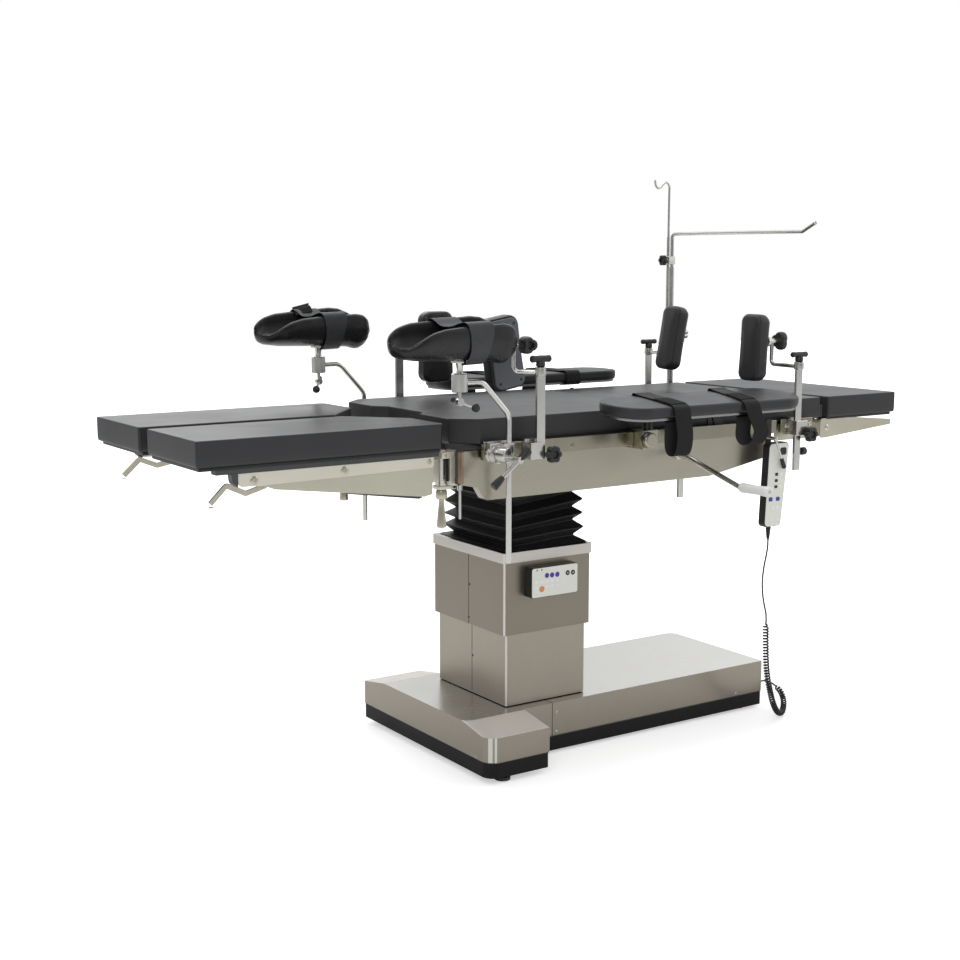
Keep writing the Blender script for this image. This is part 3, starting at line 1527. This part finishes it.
def shoulder_pad(side):
    """A shoulder support, whose cushion faces the foot end."""
    x = shoulder_post_x[side]
    y = side * post_place
    place = shoulder_pad_place[side]
    face_x = shoulder_pad_x[side] - support_pad_thickness / 2
    back_x = face_x + support_pad_thickness
    half = shoulder_pad_width / 2
    outline = rounded(rectangle(*sides_of(side, place - half, place + half), shoulder_pad_low,
                                shoulder_pad_low + shoulder_pad_height), support_pad_corner)
    rod_height = shoulder_post_top - post_eye_height / 2
    elbow_y = side * (place + half)
    stud_y = side * (place + half / 2)
    knob_height = shoulder_knob_height
    knob_x = x + post_eye_radius
    eye, bore = support_eye(x, y, shoulder_post_top)
    shapes = [
        cushion(outline, back_x, face_x, "X"),
        prism(inset(outline, support_plate_margin), back_x - sink, back_x + support_plate_thickness, "X"),
        rod([(x, y - side * (post_eye_radius - sink), rod_height), (x, elbow_y, rod_height),
             (x, stud_y, knob_height)], support_rod_radius),
        cylinder(support_stud_radius, (back_x, stud_y, knob_height), (knob_x, stud_y, knob_height)),
        trilobe((knob_x - sink, stud_y, knob_height), (1, 0, 0)),
        eye,
    ]
    name = f"shoulder_pad_{side_names[side]}"
    return piece(name, side_body("shoulder_pad", side), "dark_leather", shapes, [bore])


def arm_clamp(side):
    """The arm board's rail clamp, its tightening drum and the post that the board turns on."""
    x = arm_pivot_x
    y = side * post_place
    flange_low = arm_post_top - arm_flange_thickness
    drum_height = (rail_low + rail_top) / 2
    shapes = rail_clamp(side, x, support_clamp_half_length) + [
        cylinder(arm_post_radius, (x, y, clamp_top - sink), (x, y, arm_post_top)),
        cylinder(arm_flange_radius, (x, y, flange_low), (x, y, arm_post_top)),
        cylinder(drum_radius, (x, side * (clamp_reach - sink), drum_height),
                 (x, side * (clamp_reach + drum_thickness), drum_height)),
    ]
    return piece(f"arm_clamp_{side_names[side]}", "frame", "bright_steel", shapes)


def arm_outline():
    return rectangle(arm_foot_x, arm_foot_x + arm_length, arm_inner, arm_inner + arm_width)


def arm_board(side):
    outline = inset(rounded(arm_outline(), arm_end_radius, wide_fillet_steps), board_inset)
    top = arm_board_low + arm_board_thickness
    shapes = [prism(mirrored(outline, side), arm_board_low, top)]
    outer = arm_inner + arm_width - board_inset
    for share in strap_places_share:
        x = arm_foot_x + arm_length * share
        shapes.append(block((x - strap_width / 2, x + strap_width / 2), sides_of(side, outer - sink, outer + strap_wall),
                            (arm_board_low - strap_drop, top)))
    return piece(f"arm_board_{side_names[side]}", side_body("arm", side), "bright_steel", shapes)


def arm_pad(side):
    low = arm_board_low + arm_board_thickness + gap
    outline = mirrored(rounded(arm_outline(), arm_end_radius, wide_fillet_steps), side)
    shape = cushion(outline, low, low + arm_pad_thickness, crown=arm_pad_thickness / 2)
    return piece(f"arm_pad_{side_names[side]}", side_body("arm", side), "dark_leather", [shape])


def screen_post():
    x, y = screen_x, screen_place
    half = support_clamp_half_length
    tube_foot = (x, y, screen_tube_low)
    tube_head = (x, y, screen_tube_top)
    height = screen_star_height - star_radius
    shapes = rail_clamp(1, x - sink, half) + [
        cylinder(screen_tube_radius, tube_foot, tube_head),
        cylinder(screen_head_radius, (x, y, height - star_radius), tube_head),
        lobed(star_radius, star_depth, star_lobes, (x - screen_tube_radius, y, height), (-1, 0, 0),
              screen_tube_radius + star_thickness),
        star_knob(1, x, (rail_low + rail_top) / 2),
    ]
    cuts = [cylinder(screen_rod_radius + play, (x, y, screen_bore_low), (x, y, screen_tube_top + overrun))]
    return piece("screen_post", "back", "bright_steel", shapes, cuts)


def screen_frame():
    """The sliding rod with its crossbar over the table and the double hook at its top."""
    x, y = screen_x, screen_place
    top = screen_rod_top
    bar = screen_bar_height
    tip = (x, screen_bar_end - screen_bar_tip_rise * 2, bar + screen_bar_tip_rise)
    shapes = [
        cylinder(screen_rod_radius, (x, y, screen_rod_low), (x, y, top), rod_sides),
        rod([(x, y, bar), (x, screen_bar_end, bar), tip], screen_rod_radius, bend=screen_bar_tip_rise),
        cylinder(screen_rod_radius * 2, (x, y, bar - star_thickness), (x, y, bar + star_thickness)),
    ]
    for turn in (-1, 1):
        path = [(x, y, top - hook_rise), (x + turn * hook_half_length, y, top - hook_rise),
                (x + turn * hook_half_length, y, top + hook_rise)]
        shapes.append(rod(path, hook_radius, hook_sides, bend=hook_rise / 2))
    return piece("screen_frame", "screen", "bright_steel", shapes)


# Handset and cord


def handset():
    back = handset_front - handset_depth
    top_x = handset_x + handset_lean / 2
    low_x = handset_x - handset_lean / 2
    corners = [
        (low_x - handset_low_half_width, handset_low), (low_x + handset_low_half_width, handset_low),
        (top_x + handset_top_half_width, handset_top), (top_x - handset_top_half_width, handset_top),
    ]
    hook = (handset_x - hook_width / 2, handset_x + hook_width / 2)
    hook_top = rail_top + gap + hook_thickness
    y = -(handset_front + back) / 2
    relief = handset_low + sink - relief_low
    shapes = [
        prism(rounded(corners, handset_corner), -handset_front, -back, "Y"),
        block(hook, (-back - sink, -clamp_back), (handset_top - hook_width, handset_top - sink)),
        block(hook, (-clamp_back - hook_thickness, -clamp_back), (handset_top - hook_width, hook_top)),
        block(hook, (-clamp_back - sink, -rail_inner), (rail_top + gap, hook_top)),
        turned([(relief_low_radius, 0), (relief_top_radius, relief)], (relief_x, y, relief_low), (0, 0, 1), rod_sides),
    ]
    return piece("handset", "handset", "white_plastic", shapes)


def smooth_path(route, step):
    """Points a step apart along a smooth curve through the route's points."""
    points = [Vector(p) for p in route]
    points = [points[0] * 2 - points[1]] + points + [points[-1] * 2 - points[-2]]
    fine = []
    parts = 12
    for a, b, c, d in zip(points, points[1:], points[2:], points[3:]):
        for i in range(parts):
            t = i / parts
            fine.append((2 * b + (c - a) * t + (2 * a - 5 * b + 4 * c - d) * t ** 2
                         + (3 * b - a - 3 * c + d) * t ** 3) / 2)
    fine.append(points[-2])
    lengths = [0]
    for first, second in zip(fine, fine[1:]):
        lengths.append(lengths[-1] + (second - first).length)
    count = max(2, round(lengths[-1] / step))
    found = []
    place = 0
    for i in range(count + 1):
        wanted = lengths[-1] * i / count
        while place < len(fine) - 2 and lengths[place + 1] < wanted:
            place += 1
        run = lengths[place + 1] - lengths[place]
        found.append(fine[place].lerp(fine[place + 1], (wanted - lengths[place]) / run))
    return found, lengths[-1]


def cord_curve(name, points, bevel_steps=1, finish="black_rubber"):
    curve = bpy.data.curves.new(name, "CURVE")
    curve.dimensions = "3D"
    curve.bevel_depth = cord_radius
    curve.bevel_resolution = bevel_steps
    curve.use_fill_caps = True
    spline = curve.splines.new("POLY")
    spline.points.add(len(points) - 1)
    for place, point in zip(spline.points, points):
        place.co = (*point, 1)
    obj = bpy.data.objects.new(name, curve)
    bpy.context.scene.collection.objects.link(obj)
    return dress(obj, "base", finish)


def handset_cord():
    points, length = smooth_path(cord_route, cord_point_step * 2)
    print(f"handset_cord: {length:.3f} m")
    return cord_curve("handset_cord", points)


def handset_curly_cord():
    """The curly part as one tube: straight ends, and a helix about the route between them."""
    path, length = smooth_path(curly_route, curl_pitch / curl_points)
    step = length / (len(path) - 1)
    stop = length * curls_stop_share
    curls = round((stop - curl_lead) / curl_pitch)
    tangent = (path[1] - path[0]).normalized()
    across = frame_across(tangent)[0]
    points = []
    for i, point in enumerate(path):
        tangent = (path[min(i + 1, len(path) - 1)] - path[max(i - 1, 0)]).normalized()
        across = (across - tangent * across.dot(tangent)).normalized()
        along = tangent.cross(across)
        done = i * step
        ramp = min(1, max(0, (done - curl_lead) / curl_pitch), max(0, (stop - done) / curl_pitch))
        if ramp == 0:
            if i % 4 == 0 or i == len(path) - 1:
                points.append(point)
            continue
        turn = 2 * math.pi * curls * (done - curl_lead) / (stop - curl_lead)
        points.append(point + (across * math.cos(turn) + along * math.sin(turn)) * curl_radius * ramp)
    wire = sum((b - a).length for a, b in zip(points, points[1:]))
    apart = min((a - b).length for i, a in enumerate(points) for b in points[i + curl_points - 2:])
    print(f"handset_curly_cord: {curls} curls, {wire:.3f} m of wire, "
          f"least gap to itself {(apart - 2 * cord_radius) * 1000:.2f} mm")
    return cord_curve("handset_curly_cord", points)


def build_table():
    clear_scene()
    for finish in finishes:
        make_material(finish)
    make_axes()
    for make in (
        base_chassis, base_head_cover, base_body_cover, base_skirt, castor_wheels, hydraulic_power_unit,
        column_lower_shell, lift_cylinder, lift_mast, column_upper_shell, column_cap, bellows, control_box,
        keypad, tilt_block, slide_carriage, seat_frame, seat_pad, kidney_bridge, bridge_crank, back_frame,
        head_frame, screen_post, screen_frame, handset, handset_cord, handset_curly_cord,
    ):
        make()
    plain_pad("kidney_pad", "bridge", kidney_pad_foot_x, kidney_pad_head_x)
    plain_pad("back_pad", "back", back_pad_foot_x, back_pad_head_x)
    plain_pad("head_pad", "head", head_pad_foot_x, head_pad_head_x)
    for side in side_names:
        for make in (
            side_panel, leg_block, leg_frame, leg_pad, leg_lever, holder_clamp, holder_rod, holder_gutter,
            hip_pad, shoulder_pad, arm_clamp, arm_board, arm_pad,
        ):
            make(side)
        support_post("hip_post", side, hip_post_x[side], side_body("hip", side), hip_post_low, hip_post_top)
        support_post("shoulder_post", side, shoulder_post_x[side], side_body("shoulder", side),
                     shoulder_post_low, shoulder_post_top)


build_table()
